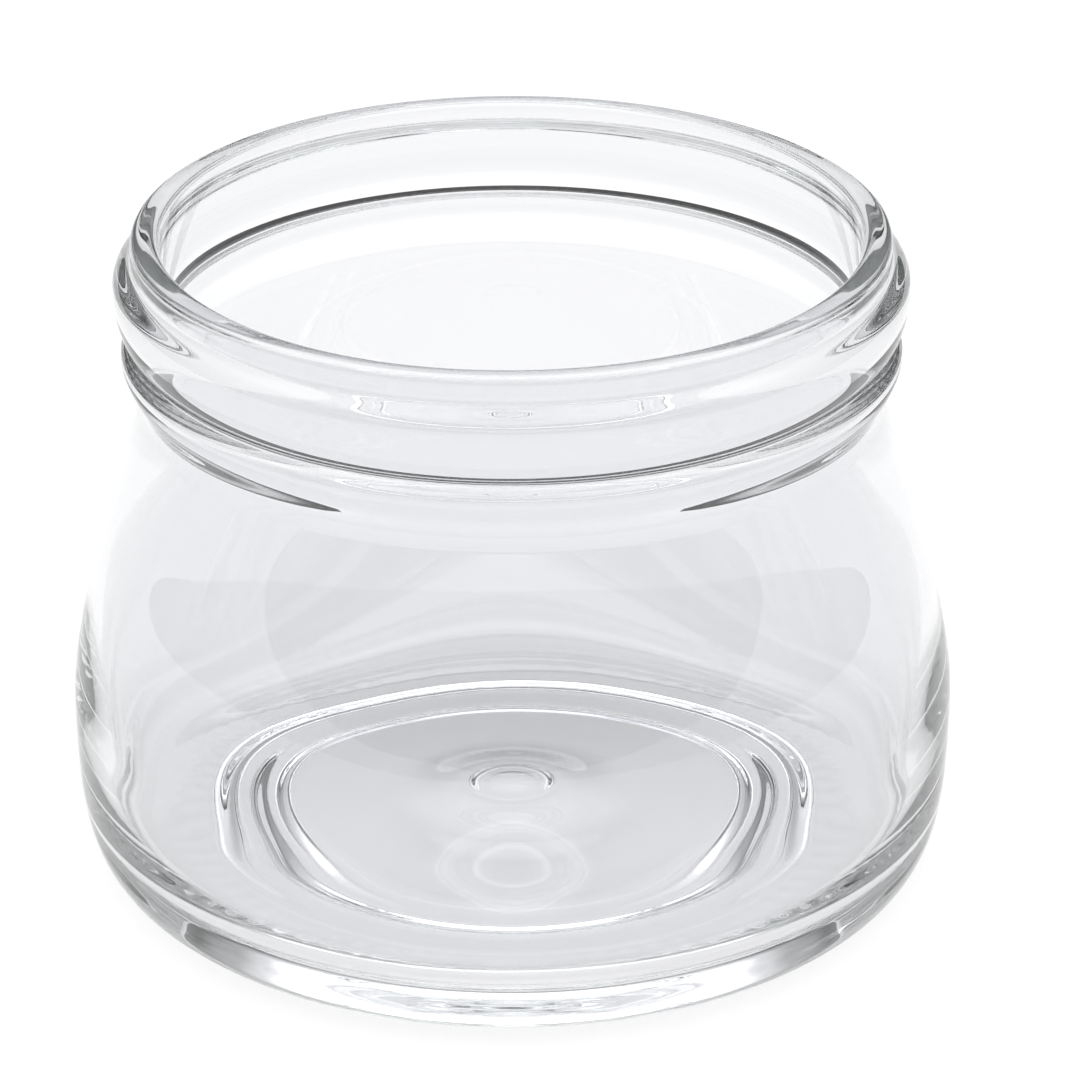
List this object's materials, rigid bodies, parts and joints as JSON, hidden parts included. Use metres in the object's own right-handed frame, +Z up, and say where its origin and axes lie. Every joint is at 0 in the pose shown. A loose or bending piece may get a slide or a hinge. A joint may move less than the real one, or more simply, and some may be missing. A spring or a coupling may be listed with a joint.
{
  "type": "preserving jar",
  "caption": "Open, empty preserving jar of clear glass: pear-shaped body on a ringed base with a push-up, narrow neck, bead and collar for a press-on lid, and rounded lip.",
  "frame": {"origin": "middle of the base, on the surface that the jar stands on", "axes": "+Z up along the jar's axis, towards the mouth; -Y faces the picture's camera"},
  "size_m": [0.072, 0.072, 0.054],
  "materials": {
    "clear_glass": "smooth and polished, clear with a faint cool tint"
  },
  "bodies": {
    "root": {"glass_jar": "clear_glass"}
  },
  "joints": []
}
